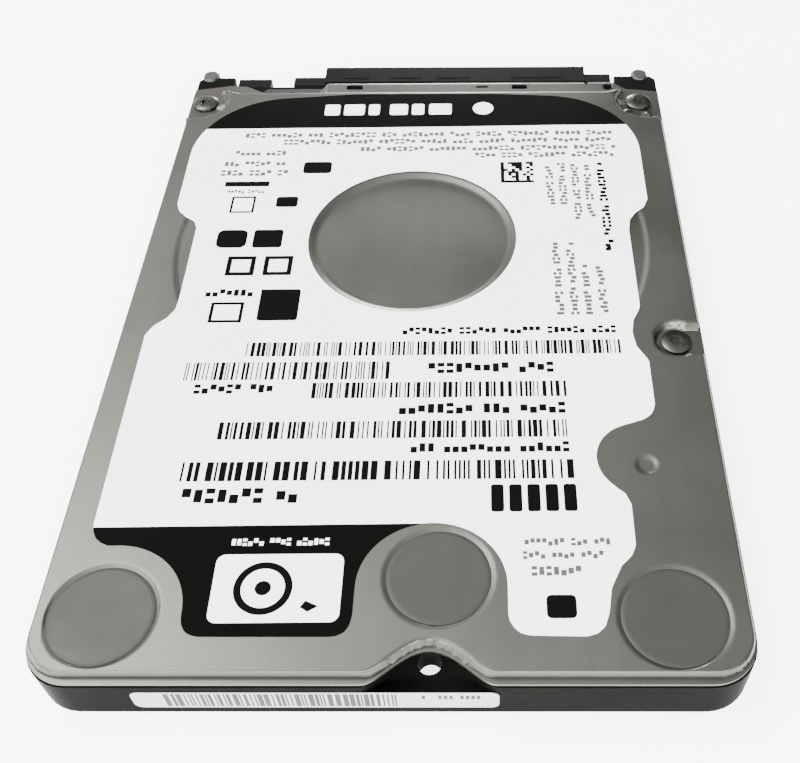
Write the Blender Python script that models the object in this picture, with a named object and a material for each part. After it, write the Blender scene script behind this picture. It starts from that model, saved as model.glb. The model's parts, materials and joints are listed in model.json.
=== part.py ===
"""A 2.5-inch hard disk drive, 7 mm high: every piece as its own closed solid.

The drive lies label side up. +Y points to the connector end, +X to the right when the
front end faces the viewer, and the origin is on the underside, at the middle of the box.
Lengths are in millimetres here and are turned into metres when a mesh is stored.
"""

import math

import bmesh
import bpy

MM = 0.001

# Form factor
WIDTH = 69.85
LENGTH = 100.2
HEIGHT = 7.0
HALF_W = WIDTH / 2
HALF_L = LENGTH / 2
FRONT = -HALF_L + 0.06
CORNER_R = 4.7

# Heights of the stack, from the underside up
BOARD = (0.35, 1.05)
CHIP_FLOOR = 1.12
POCKET = (0.35, 0.95)
FLOOR = (1.9, 2.6)
BASE_TOP = 5.4
GASKET = (5.43, 5.52)
FLANGE = (5.55, 5.95)
STRIP_TOP = 6.3
PLATEAU = (6.4, 6.88)
LABEL = (6.9, HEIGHT)

# Axes
SPINDLE = (-0.44, 10.4)
PIVOT = (-16.5, -28.8)
LATCH = (-22.5, -45.0)
NOTCH_X = 3.7

# Spindle side
CAVITY_R = 33.4
PLATTER_R = (10.0, 32.5)
PLATTER = (4.0, 4.8)
CLAMP = (4.85, 5.25)

# Actuator side
PARKED = 17.2
COIL_AXIS = PARKED + 190.0
HEAD_R = 37.8
COIL_R = (6.3, 13.8)
YOKE_R = (6.0, 14.8)

# Fasteners
MOUNT_ROWS = (-40.5, 36.1)
SIDE_HOLE_Z = 3.0
BOTTOM_HOLE_X = 30.86
M3_R = 1.25
SEALED_SCREWS = {
    "front_left": (-27.9, -43.3),
    "front_centre": (4.4, -39.15),
    "front_right": (27.15, -43.5),
}
OPEN_SCREWS = {
    "back_left": (-32.6, 40.8),
    "back_right": (31.65, 40.8),
    "right_middle": (31.6, -7.4),
}
BOARD_SCREWS = {
    "back_left": (-25.2, 38.5),
    "back_right": (25.2, 38.5),
    "front_left": (-24.6, 4.5),
    "front_right": (24.6, 4.5),
}
SEAL_R = 5.1

# Connector end
EARS = (-29.5, 28.7)
LUGS = (-33.3, 32.6)
PLUG = (-15.5, 24.1)
JUMPER = (-28.9, -23.9)
BREATHER = (26.2, -25.7)

# Colour, roughness and metallic value of each finish
FINISHES = {
    "cover_steel": ((0.20, 0.20, 0.175), 0.38, 1.0),
    "cast_black": ((0.025, 0.028, 0.024), 0.45, 0.3),
    "label_paper": ((0.85, 0.85, 0.84), 0.55, 0.0),
    "seal_foil": ((0.15, 0.15, 0.135), 0.5, 0.7),
    "screw_steel": ((0.45, 0.45, 0.43), 0.3, 1.0),
    "seal_rubber": ((0.02, 0.02, 0.02), 0.8, 0.0),
    "filter_felt": ((0.75, 0.75, 0.72), 0.9, 0.0),
    "motor_steel": ((0.35, 0.35, 0.36), 0.35, 1.0),
    "copper_wire": ((0.60, 0.26, 0.10), 0.35, 1.0),
    "nickel_magnet": ((0.55, 0.55, 0.53), 0.2, 1.0),
    "amber_film": ((0.45, 0.18, 0.03), 0.35, 0.0),
    "board_green": ((0.02, 0.12, 0.05), 0.4, 0.0),
    "chip_black": ((0.02, 0.02, 0.022), 0.5, 0.0),
    "connector_black": ((0.015, 0.015, 0.016), 0.5, 0.0),
    "platter_mirror": ((0.75, 0.75, 0.76), 0.04, 1.0),
    "light_alloy": ((0.60, 0.60, 0.60), 0.3, 1.0),
    "ramp_plastic": ((0.75, 0.70, 0.58), 0.5, 0.0),
    "slider_ceramic": ((0.10, 0.10, 0.11), 0.3, 0.0),
}


def clear_scene():
    for obj in list(bpy.data.objects):
        bpy.data.objects.remove(obj, do_unlink=True)


def finish(name):
    """The material of this finish, made once."""
    found = bpy.data.materials.get(name)
    if found:
        return found
    colour, roughness, metallic = FINISHES[name]
    found = bpy.data.materials.new(name)
    found.use_nodes = True
    shader = found.node_tree.nodes["Principled BSDF"]
    shader.inputs["Base Color"].default_value = (*colour, 1.0)
    shader.inputs["Roughness"].default_value = roughness
    shader.inputs["Metallic"].default_value = metallic
    found.diffuse_color = (*colour, 1.0)
    return found


def axis_empty(name, centre):
    """An empty on a joint's axis, for the pieces that turn about it."""
    empty = bpy.data.objects.new(name, None)
    empty.empty_display_size = 5 * MM
    empty.location = (centre[0] * MM, centre[1] * MM, 0.0)
    bpy.context.scene.collection.objects.link(empty)
    return empty


# Outlines


def arc(centre, radius, start, end, steps):
    """Points on a circle from one angle to another, in degrees, both ends included."""
    points = []
    for i in range(steps + 1):
        angle = math.radians(start + (end - start) * i / steps)
        points.append((centre[0] + radius * math.cos(angle), centre[1] + radius * math.sin(angle)))
    return points


def oval(centre, half_width, half_height, start, end, steps):
    points = []
    for x, y in arc((0.0, 0.0), 1.0, start, end, steps):
        points.append((centre[0] + half_width * x, centre[1] + half_height * y))
    return points


def circle(centre, radius, steps=32):
    return arc(centre, radius, 0.0, 360.0 - 360.0 / steps, steps - 1)


def rectangle(x0, y0, x1, y1):
    return [(x0, y0), (x1, y0), (x1, y1), (x0, y1)]


def rounded_rectangle(x0, y0, x1, y1, radius, steps=4):
    points = arc((x1 - radius, y0 + radius), radius, -90, 0, steps)
    points += arc((x1 - radius, y1 - radius), radius, 0, 90, steps)
    points += arc((x0 + radius, y1 - radius), radius, 90, 180, steps)
    points += arc((x0 + radius, y0 + radius), radius, 180, 270, steps)
    return points


def sector(centre, inner, outer, start, end, steps=10):
    return arc(centre, outer, start, end, steps) + arc(centre, inner, end, start, steps)


def polar(centre, radius, angle):
    turn = math.radians(angle)
    return (centre[0] + radius * math.cos(turn), centre[1] + radius * math.sin(turn))


def bar(start, end, start_width, end_width):
    """A straight tapered bar between two points, with square ends."""
    length = math.dist(start, end)
    across = (-(end[1] - start[1]) / length, (end[0] - start[0]) / length)
    corners = []
    for point, side in ((start, -start_width), (end, -end_width), (end, end_width), (start, start_width)):
        corners.append((point[0] + across[0] * side / 2, point[1] + across[1] * side / 2))
    return corners


def notch_outline(apex, half_width, rim):
    """The bell-shaped notch of the front edge: an S-curve up to its apex and down again."""
    points = []
    steps = 14
    for i in range(steps + 1):
        across = -1 + 2 * i / steps
        rise = (0.5 + 0.5 * math.cos(math.pi * across)) ** 0.8
        points.append((NOTCH_X + half_width * across, rim + (apex - rim) * rise))
    points.append((NOTCH_X + half_width, rim - 3.0))
    points.append((NOTCH_X - half_width, rim - 3.0))
    return points


# Solids


def store(name, bm, finish_name, axis=None):
    """Puts the mesh in the scene in metres, with its origin on the axis of its joint if it has one."""
    centre = (0.0, 0.0)
    if axis:
        centre = (axis.location.x / MM, axis.location.y / MM)
    for vertex in bm.verts:
        vertex.co.x = (vertex.co.x - centre[0]) * MM
        vertex.co.y = (vertex.co.y - centre[1]) * MM
        vertex.co.z *= MM
    bmesh.ops.recalc_face_normals(bm, faces=bm.faces)
    mesh = bpy.data.meshes.new(name)
    bm.to_mesh(mesh)
    bm.free()
    mesh.materials.append(finish(finish_name))
    mesh.shade_smooth()
    mesh.set_sharp_from_angle(angle=math.radians(35))
    obj = bpy.data.objects.new(name, mesh)
    obj.parent = axis
    bpy.context.scene.collection.objects.link(obj)
    return obj


def prism_mesh(outline, bottom, top, holes=()):
    """An outline with holes, extruded from one height to another."""
    bm = bmesh.new()
    edges = []
    for loop in (outline, *holes):
        corners = [bm.verts.new((x, y, bottom)) for x, y in loop]
        for here, following in zip(corners, corners[1:] + corners[:1]):
            edges.append(bm.edges.new((here, following)))
    if holes:
        bmesh.ops.triangle_fill(bm, edges=edges, use_beauty=True, use_dissolve=False)
    else:
        bm.faces.new(list(bm.verts))
    made = bmesh.ops.extrude_face_region(bm, geom=list(bm.faces))
    for item in made["geom"]:
        if isinstance(item, bmesh.types.BMVert):
            item.co.z = top
    return bm


def prism(name, outline, heights, finish_name, holes=(), axis=None):
    return store(name, prism_mesh(outline, heights[0], heights[1], holes), finish_name, axis)


def turned(name, profile, centre, finish_name, steps=48, axis=None):
    """A closed profile of (radius, height) points, turned about an upright line."""
    bm = bmesh.new()
    rings = []
    for radius, height in profile:
        if radius == 0:
            rings.append([bm.verts.new((centre[0], centre[1], height))] * steps)
        else:
            rings.append([bm.verts.new((x, y, height)) for x, y in circle(centre, radius, steps)])
    for ring, above in zip(rings, rings[1:] + rings[:1]):
        for i in range(steps):
            j = (i + 1) % steps
            corners = []
            for corner in (ring[i], ring[j], above[j], above[i]):
                if corner not in corners:
                    corners.append(corner)
            if len(corners) > 2:
                bm.faces.new(corners)
    return store(name, bm, finish_name, axis)


def cutter(name, bm):
    """A helper that only shapes other pieces."""
    helper = store(name, bm, "cast_black")
    helper.hide_render = True
    helper.display_type = "WIRE"
    return helper


def shape(obj, operation, name, outline, bottom, top, holes=()):
    """Adds or takes away a prism with an exact Boolean."""
    helper = cutter(name, prism_mesh(outline, bottom, top, holes))
    modifier = obj.modifiers.new(name, "BOOLEAN")
    modifier.operation = operation
    modifier.solver = "EXACT"
    modifier.object = helper
    return helper


def cut(obj, name, outline, bottom, top, holes=()):
    return shape(obj, "DIFFERENCE", name, outline, bottom, top, holes)


def add(obj, name, outline, bottom, top):
    return shape(obj, "UNION", name, outline, bottom, top)


def cut_across(obj, name, x0, x1, y, z, radius, steps=20):
    """Drills a round hole along X."""
    bm = prism_mesh(circle((0.0, 0.0), radius, steps), x0, x1)
    for vertex in bm.verts:
        vertex.co = (vertex.co.z, y + vertex.co.x, z + vertex.co.y)
    helper = cutter(name, bm)
    modifier = obj.modifiers.new(name, "BOOLEAN")
    modifier.operation = "DIFFERENCE"
    modifier.object = helper


# Enclosure


def side_outline(inset):
    """The drive's outline at the front and sides, as a stretch from the back right to the back left."""
    x = HALF_W - inset
    y = FRONT + inset
    radius = CORNER_R - inset
    points = arc((-x + radius, y + radius), radius, 180, 270, 8)
    return points + arc((x - radius, y + radius), radius, 270, 360, 8)


def cavity_outline():
    """The room for the platter, the actuator and its motor, as one closed outline."""
    x = 33.2
    y = -10.5
    dx = math.sqrt(CAVITY_R**2 - (y - SPINDLE[1]) ** 2)
    right = math.degrees(math.atan2(y - SPINDLE[1], dx))
    points = arc(SPINDLE, CAVITY_R, right, 180.0 - right, 56)
    points += [(-x, y), (-x, -37.2), (-30.9, -37.8), (-28.7, -39.6), (-27.2, -41.0)]
    points += [(-26.0, -42.8), (-25.9, -47.0), (-3.3, -47.0), (-0.3, -44.4), (2.0, -43.0)]
    points += arc(SEALED_SCREWS["front_centre"], 2.5, 180, 0, 8)
    points += [(6.8, -43.0), (7.9, -44.4), (10.9, -47.0), (24.2, -47.0), (24.4, -41.7)]
    points += [(27.6, -39.6), (30.9, -37.8), (x, -37.2), (x, y)]
    return points


def board_room(inset):
    """The U-shaped room for the circuit board, hollowed out round the motor."""
    x = 27.8 - inset
    front = 1.6 + inset
    radius = 13.3 + inset
    dx = math.sqrt(radius**2 - (front - SPINDLE[1]) ** 2)
    left = math.degrees(math.atan2(front - SPINDLE[1], -dx))
    right = math.degrees(math.atan2(front - SPINDLE[1], dx))
    points = [(-x, front)] + arc(SPINDLE, radius, 360.0 + left, right, 24)
    return points + [(x, front)]


def base_casting():
    ear_y = 48.5
    back = 46.0
    outline = side_outline(0.0)
    outline += [(HALF_W, ear_y - 0.8), (HALF_W - 0.8, ear_y), (EARS[1], ear_y), (EARS[1], back)]
    outline += [(EARS[0], back), (EARS[0], ear_y), (-HALF_W + 0.8, ear_y), (-HALF_W, ear_y - 0.8)]
    base = prism("base_casting", outline, (0.0, BASE_TOP), "cast_black")
    for side, x in zip(("left", "right"), LUGS):
        lug = rounded_rectangle(x - 1.2, 44.0, x + 1.2, HALF_L, 0.8, 3)
        add(base, f"ear_lug_{side}", lug, 3.4, BASE_TOP - 0.1)
    cut(base, "cavity", cavity_outline(), FLOOR[1], BASE_TOP + 2)
    cut(base, "motor_pocket", circle(SPINDLE, 11.2, 40), POCKET[1], FLOOR[1] + 1)
    room = board_room(0.0) + [(27.8, back + 4), (-27.8, back + 4)]
    recess = cut(base, "board_recess", room, -1.0, FLOOR[0])
    for place, centre in BOARD_SCREWS.items():
        cut(recess, f"board_boss_{place}", circle(centre, 1.9, 16), BOARD[1] + 0.04, FLOOR[0] + 1)
    front_room = rounded_rectangle(-27.8, -44.0, 27.8, 0.9, 2.0)
    cut(base, "underside_recess", front_room, -1.0, POCKET[0])
    cut(base, "motor_relief", circle(SPINDLE, 13.6, 40), -1.0, POCKET[0] - 0.001)
    for row in MOUNT_ROWS:
        for side in (-1, 1):
            hole = circle((BOTTOM_HOLE_X * side, row), M3_R, 20)
            cut(base, f"bottom_hole_{side}_{row}", hole, -1.0, 3.0)
            reach = sorted((HALF_W * side - 2.4 * side, HALF_W * side + side))
            cut_across(base, f"side_hole_{side}_{row}", *reach, row, SIDE_HOLE_Z, M3_R)
    cut(base, "front_notch", notch_outline(-44.8, 6.4, FRONT), 3.0, BASE_TOP + 1)
    cut(base, "notch_hole", circle((NOTCH_X - 0.1, -46.45), 1.2, 24), -1.0, 4.0)
    for place, centre in {**SEALED_SCREWS, **OPEN_SCREWS}.items():
        cut(base, f"screw_hole_{place}", circle(centre, 0.85, 12), 3.3, BASE_TOP + 1)
    for place, centre in BOARD_SCREWS.items():
        cut(base, f"board_hole_{place}", circle(centre, 0.8, 12), -1.0, 2.35)
    return base


def plateau_outline(inset):
    """The raised panel of the cover: it nearly reaches the sides and has the notch in its front edge."""
    x = 34.35 - inset
    front = -48.95 + inset
    back = 42.5 - inset
    radius = 4.6 - inset
    points = arc((-x + radius, front + radius), radius, 180, 270, 6)
    points += notch_outline(-46.2 + inset, 5.9 + inset, front)[:-2]
    points += arc((x - radius, front + radius), radius, 270, 360, 6)
    points += [(x, 36.6)]
    points += arc((OPEN_SCREWS["back_right"][0], 40.4), 3.3 + inset, 310, 130, 8)
    points += [(26.5 - inset, back), (-27.1 + inset, back)]
    points += arc((OPEN_SCREWS["back_left"][0], 40.4), 3.3 + inset, 50, -130, 8)
    points += [(-x, 36.6)]
    return points


def top_cover():
    """A stamped sheet: a flange, a raised panel and its recesses, hollowed from below."""
    wide = HALF_W - 0.1
    outline = [(x * wide / HALF_W, y + 0.08) for x, y in side_outline(0.0)]
    outline += [(wide, 43.7), (29.8, 44.5), (27.8, 46.05), (24.4, 46.05), (24.2, 44.8), (23.9, 46.05)]
    outline += [(-15.1, 46.05), (-16.1, 43.6), (-24.2, 43.6), (-27.0, 45.4), (-29.6, 45.6), (-wide, 44.6)]
    cover = prism("top_cover", outline, FLANGE, "cover_steel")
    add(cover, "plateau_foot", plateau_outline(0.0), FLANGE[0] + 0.1, PLATEAU[1] - 0.35)
    add(cover, "plateau_top", plateau_outline(0.3), FLANGE[0] + 0.2, PLATEAU[1])
    strip = rectangle(-14.9, 40.0, 26.8, 45.95)
    add(cover, "rear_strip", strip, FLANGE[0] + 0.1, STRIP_TOP)
    cut(cover, "centre_recess", circle(SPINDLE, 13.0, 40), PLATEAU[1] - 0.35, HEIGHT)
    notch = notch_outline(-46.0 + 0.6, 6.6, FRONT)
    hollow = cut(cover, "hollow", rounded_rectangle(-33.7, -48.1, 33.7, 42.0, 3.6), 5.0, PLATEAU[0])
    cut(hollow, "notch_wall", notch, 4.0, HEIGHT)
    cut(hollow, "centre_floor", circle(SPINDLE, 13.5, 40), PLATEAU[1] - 0.85, HEIGHT)
    for place, centre in SEALED_SCREWS.items():
        cut(hollow, f"seal_floor_{place}", circle(centre, 6.2, 24), 5.98, HEIGHT)
        cut(hollow, f"well_floor_{place}", circle(centre, 3.5, 24), 5.0, 6.1)
        cut(cover, f"seal_recess_{place}", circle(centre, 5.6, 32), 6.46, HEIGHT)
        cut(cover, f"well_{place}", circle(centre, 3.0, 24), FLANGE[1], 6.5)
        cut(cover, f"cover_hole_{place}", circle(centre, 0.9, 12), 5.0, 6.2)
    for place, centre in OPEN_SCREWS.items():
        cut(hollow, f"open_well_floor_{place}", circle(centre, 3.1, 20), 5.0, HEIGHT)
        cut(cover, f"cover_hole_{place}", circle(centre, 0.9, 12), 5.0, HEIGHT)
    bay = circle(OPEN_SCREWS["right_middle"], 2.5, 20)
    cut(cover, "screw_bay", bay, FLANGE[1], HEIGHT)
    cut(cover, "screw_bay_mouth", rectangle(31.6, -9.7, 36.0, -5.1), FLANGE[1], HEIGHT)
    cut(cover, "breather_hole", circle(BREATHER, 0.5, 10), 6.0, HEIGHT)
    for x, y, wide in ((-10.7, 44.6, 2.5), (14.1, 44.6, 2.3)):
        slot = rounded_rectangle(x - wide / 2, y - 0.6, x + wide / 2, y + 0.6, 0.3, 2)
        cut(cover, f"rear_slot_{x}", slot, 5.0, HEIGHT)
    return cover


def cover_gasket():
    outer = side_outline(0.7)
    outer += [(HALF_W - 0.7, 39.0), (29.5, 39.6), (24.0, 45.3), (-24.0, 45.3)]
    outer += [(-29.5, 39.6), (-HALF_W + 0.7, 39.0)]
    gasket = prism("cover_gasket", outer, GASKET, "seal_rubber")
    cut(gasket, "gasket_window", cavity_outline(), GASKET[0] - 1, GASKET[1] + 1)
    cut(gasket, "gasket_notch", notch_outline(-44.55, 6.7, FRONT), GASKET[0] - 1, GASKET[1] + 1)
    for place, centre in {**SEALED_SCREWS, "right_middle": OPEN_SCREWS["right_middle"]}.items():
        cut(gasket, f"gasket_hole_{place}", circle(centre, 1.0, 12), GASKET[0] - 1, GASKET[1] + 1)


def cover_screws():
    head = (FLANGE[1] + 0.02, 6.42)
    for place, centre in {**SEALED_SCREWS, **OPEN_SCREWS}.items():
        profile = [(0, 3.45), (0.6, 3.45), (0.75, 3.65), (0.75, head[0]), (1.85, head[0])]
        profile += [(1.85, head[1] - 0.15), (1.6, head[1]), (0, head[1])]
        screw = turned(f"cover_screw_{place}", profile, centre, "screw_steel", 20)
        cut(screw, f"drive_{place}", circle(centre, 0.75, 6), head[1] - 0.3, HEIGHT)


def seals():
    for place, centre in SEALED_SCREWS.items():
        profile = [(0, 6.48), (SEAL_R, 6.48), (SEAL_R, 6.56), (0, 6.56)]
        turned(f"seal_{place}", profile, centre, "seal_foil", 40)


def label_outline():
    """The label: its edge steps round the seals, the screw bay and the breather hole."""
    points = [(-5.5, -45.6), (-4.4, -45.0), (-3.8, -43.4)]
    points += oval((3.7, -40.2), 7.5, 7.2, 180, 0, 12)
    points += [(11.2, -43.1), (13.2, -45.4), (18.6, -45.6), (20.9, -43.1), (21.3, -40.5), (22.5, -38.0)]
    points += [(24.1, -36.1), (24.1, -30.8), (22.9, -28.8)]
    points += arc((25.6, -24.9), 4.7, 225, 115, 6)
    points += [(26.8, -19.5), (28.0, -17.7), (27.9, -11.0), (26.8, -9.2), (26.4, -6.6), (26.9, -4.0)]
    points += [(27.7, -2.6), (27.6, 11.4), (28.5, 14.6), (30.1, 16.5), (30.6, 18.1), (30.6, 26.5)]
    points += arc((17.5, 28.2), 13.1, 0, 84, 8)
    points += [(9.7, 41.8), (-10.4, 41.8)]
    points += arc((-19.2, 27.8), 13.1, 94, 180, 8)
    points += [(-32.1, 16.5), (-31.0, 14.8), (-28.9, 13.1), (-28.6, 12.0), (-28.5, -2.1), (-29.3, -4.0)]
    points += [(-30.9, -5.5), (-31.4, -7.4), (-31.1, -33.3), (-30.0, -35.1)]
    points += arc(SEALED_SCREWS["front_left"], 7.7, 96, 0, 8)
    points += [(-19.8, -44.7), (-18.4, -45.6)]
    return points


def labels():
    hole = circle(SPINDLE, 13.42, 48)
    prism("top_label", label_outline(), LABEL, "label_paper", holes=[hole])
    strip = prism_mesh(rounded_rectangle(-24.5, 1.15, 10.3, 4.4, 0.8, 3), -0.04, 0.0)
    for vertex in strip.verts:
        vertex.co = (vertex.co.x, -HALF_L - vertex.co.z, vertex.co.y)
    store("front_label", strip, "label_paper")


def filters():
    x, y = BREATHER
    breather = rounded_rectangle(x - 2.5, y - 3.0, x + 2.5, y + 3.0, 0.8, 3)
    prism("breather_filter", breather, (4.95, 6.3), "filter_felt")
    pad = bar((-31.2, -14.0), (-28.4, -20.6), 1.8, 1.8)
    prism("recirculation_filter", pad, (2.7, 5.2), "filter_felt")


# Spindle motor and platter


def stator_outline():
    """Nine teeth on an inner ring."""
    teeth = 9
    pitch = 360.0 / teeth
    points = []
    for i in range(teeth):
        middle = i * pitch
        points += [polar(SPINDLE, 4.8, middle - 9), polar(SPINDLE, 7.6, middle - 5)]
        points += [polar(SPINDLE, 7.8, middle - 15), polar(SPINDLE, 8.5, middle - 14)]
        points += [polar(SPINDLE, 8.6, middle), polar(SPINDLE, 8.5, middle + 14)]
        points += [polar(SPINDLE, 7.8, middle + 15), polar(SPINDLE, 7.6, middle + 5)]
        points += [polar(SPINDLE, 4.8, middle + 9)]
    return points


def fixed_motor():
    bore = circle(SPINDLE, 3.5, 24)
    prism("stator_core", stator_outline(), (1.2, 1.9), "motor_steel", holes=[bore])
    inner = circle(SPINDLE, 4.7, 24)
    prism("stator_windings", circle(SPINDLE, 7.4, 36), (1.95, 2.5), "copper_wire", holes=[inner])
    sleeve = [(1.56, 1.0), (3.4, 1.0), (3.4, 3.05), (1.56, 3.05)]
    turned("spindle_sleeve", sleeve, SPINDLE, "motor_steel", 24)
    tail = arc(SPINDLE, 9.0, 110, 430, 24)
    tail += [(SPINDLE[0] + 3.1, 27.0), (SPINDLE[0] - 3.1, 27.0)]
    prism("motor_flex", tail, (0.1, 0.3), "amber_film", holes=[circle(SPINDLE, 4.0, 20)])


def rotor():
    axis = axis_empty("spindle_axis", SPINDLE)
    hub = [(1.53, 3.15), (9.9, 3.15), (9.95, 1.3), (10.7, 1.3), (10.7, 3.35), (12.0, 3.35), (12.0, 3.94)]
    hub += [(9.94, 3.94), (9.94, 4.83), (1.53, 4.83)]
    turned("spindle_hub", hub, SPINDLE, "light_alloy", 48, axis)
    magnet = [(8.95, 1.25), (9.86, 1.25), (9.86, 3.08), (8.95, 3.08)]
    turned("rotor_magnet", magnet, SPINDLE, "nickel_magnet", 40, axis)
    shaft = [(0, 1.0), (1.49, 1.0), (1.49, 4.6), (0, 4.6)]
    turned("spindle_shaft", shaft, SPINDLE, "motor_steel", 24, axis)
    disc = [(PLATTER_R[0], PLATTER[0]), (PLATTER_R[1] - 0.1, PLATTER[0]), (PLATTER_R[1], PLATTER[0] + 0.1)]
    disc += [(PLATTER_R[1], PLATTER[1] - 0.1), (PLATTER_R[1] - 0.1, PLATTER[1]), (PLATTER_R[0], PLATTER[1])]
    turned("platter", disc, SPINDLE, "platter_mirror", 72, axis)
    clamp = [(1.35, CLAMP[0]), (12.2, CLAMP[0]), (12.2, CLAMP[1] - 0.1), (12.1, CLAMP[1]), (1.35, CLAMP[1])]
    turned("disk_clamp", clamp, SPINDLE, "motor_steel", 48, axis)
    screw = [(0, 4.65), (1.1, 4.65), (1.1, 5.28), (2.6, 5.28), (2.6, 5.6), (2.4, 5.8), (0, 5.8)]
    head = turned("clamp_screw", screw, SPINDLE, "screw_steel", 24, axis)
    cut(head, "clamp_drive", circle(SPINDLE, 0.9, 6), 5.5, 6.5)


# Actuator, its motor and what it parks on


def actuator():
    axis = axis_empty("pivot_axis", PIVOT)
    boss = [(3.5, 3.0), (5.0, 3.0), (5.0, 6.0), (3.5, 6.0)]
    body = turned("actuator_arm", boss, PIVOT, "light_alloy", 32, axis)
    tip = polar(PIVOT, 24.0, PARKED)
    root = polar(PIVOT, 4.2, PARKED)
    for place, heights in (("upper", (5.3, 5.75)), ("lower", (3.02, 3.5))):
        helper = add(body, f"arm_{place}", bar(root, tip, 7.0, 3.2), *heights)
        cut(helper, f"arm_window_{place}", circle(polar(PIVOT, 15.0, PARKED), 1.2, 14), 2.5, 6.5)
    for side in (-1, 1):
        near, far = sorted((COIL_AXIS + 15.5 * side, COIL_AXIS + 18.0 * side))
        add(body, f"coil_prong_{side}", sector(PIVOT, 4.2, COIL_R[1] + 0.1, near, far, 1), 4.15, 4.95)
    finger = sector(PIVOT, COIL_R[1] - 0.3, 14.9, COIL_AXIS + 15.9, COIL_AXIS + 17.7, 1)
    add(body, "latch_finger", finger, 4.25, 4.85)
    sleeve = [(1.46, 3.1), (3.4, 3.1), (3.4, 5.9), (1.46, 5.9)]
    turned("pivot_sleeve", sleeve, PIVOT, "motor_steel", 24, axis)
    outer = sector(PIVOT, COIL_R[0], COIL_R[1], COIL_AXIS - 14.8, COIL_AXIS + 14.8, 8)
    window = sector(PIVOT, COIL_R[0] + 2.0, COIL_R[1] - 1.8, COIL_AXIS - 6.5, COIL_AXIS + 6.5, 5)
    prism("voice_coil", outer, (4.15, 4.95), "copper_wire", holes=[window], axis=axis)
    start = polar(PIVOT, 20.0, PARKED)
    end = polar(PIVOT, 40.9, PARKED)
    head = polar(PIVOT, HEAD_R, PARKED)
    pairs = (("upper", (5.12, 5.24), (4.87, 5.07)), ("lower", (3.56, 3.68), (3.73, 3.93)))
    for place, spring, slider in pairs:
        prism(f"suspension_{place}", bar(start, end, 3.0, 0.9), spring, "motor_steel", axis=axis)
        near = polar(head, -0.6, PARKED)
        far = polar(head, 0.6, PARKED)
        prism(f"slider_{place}", bar(near, far, 1.0, 1.0), slider, "slider_ceramic", axis=axis)


def actuator_motor():
    first = COIL_AXIS - 18.5
    last = COIL_AXIS + 32.5 + 18.5
    for place, yoke, magnet in (("lower", (2.65, 3.25), (3.3, 3.95)), ("upper", (5.5, 5.92), (5.15, 5.45))):
        plate = sector(PIVOT, YOKE_R[0], YOKE_R[1], first - 7.0, last + 7.0, 16)
        prism(f"yoke_{place}", plate, yoke, "motor_steel")
        slab = sector(PIVOT, COIL_R[0], COIL_R[1] + 0.2, first + 3.0, last - 3.0, 14)
        prism(f"magnet_{place}", slab, magnet, "nickel_magnet")
    for name, angle in (("crash_stop_parked", first - 5.2), ("crash_stop_inner", last + 5.2)):
        profile = [(0, 3.3), (0.95, 3.3), (0.95, 5.45), (0, 5.45)]
        turned(name, profile, polar(PIVOT, 12.0, angle), "seal_rubber", 20)
    profile = [(0, 2.65), (1.42, 2.65), (1.42, 5.95), (0, 5.95)]
    turned("pivot_shaft", profile, PIVOT, "motor_steel", 24)


def latch():
    axis = axis_empty("latch_axis", LATCH)
    eye = [(0.6, 4.2), (1.35, 4.2), (1.35, 4.9), (0.6, 4.9)]
    lever = turned("inertia_latch", eye, LATCH, "ramp_plastic", 20, axis)
    tip = (LATCH[0] - 4.5, LATCH[1] + 4.7)
    near = (LATCH[0] - 0.7, LATCH[1] + 0.73)
    add(lever, "latch_lever", bar(near, tip, 1.2, 0.9), 4.2, 4.9)
    weight = (LATCH[0] + 4.6, LATCH[1] - 0.2)
    add(lever, "latch_weight", bar((LATCH[0] + 0.9, LATCH[1]), weight, 1.3, 1.7), 4.2, 4.9)
    pin = [(0, 2.65), (1.1, 2.65), (1.1, 4.15), (0.54, 4.15), (0.54, 5.2), (0, 5.2)]
    turned("latch_pin", pin, LATCH, "motor_steel", 20)


def load_ramp():
    """A plate between the two lift tabs of the parked arm, on a foot beside the platter."""
    near = PARKED - 3.5
    far = PARKED + 1.8
    plate = sector(PIVOT, 39.4, 43.5, near, far, 3)
    ramp = prism("load_ramp", plate, (3.78, 5.02), "ramp_plastic")
    centre = polar(PIVOT, 43.6, near + 0.6)
    add(ramp, "ramp_foot", circle(centre, 1.9, 20), 2.65, 4.3)
    cut(ramp, "ramp_hole", circle(centre, 0.85, 12), 2.0, 6.0)
    profile = [(0, 2.7), (0.75, 2.7), (0.75, 5.06), (1.3, 5.06), (1.3, 5.5), (0, 5.5)]
    turned("ramp_screw", profile, centre, "screw_steel", 16)


def arm_flex():
    prism("flex_bracket", rounded_rectangle(-11.0, -46.2, -4.6, -40.2, 0.8, 3), (2.65, 3.6), "chip_black")
    outer = [(-5.2, -41.0), (-5.0, -37.4), (-6.5, -34.3), (-9.2, -32.7), (-12.2, -32.3)]
    inner = [(-12.2, -32.5), (-9.3, -32.95), (-6.7, -34.5), (-5.3, -37.5), (-5.5, -41.0)]
    prism("flex_cable", outer + inner, (3.68, 5.4), "amber_film")


# Electronics


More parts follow.
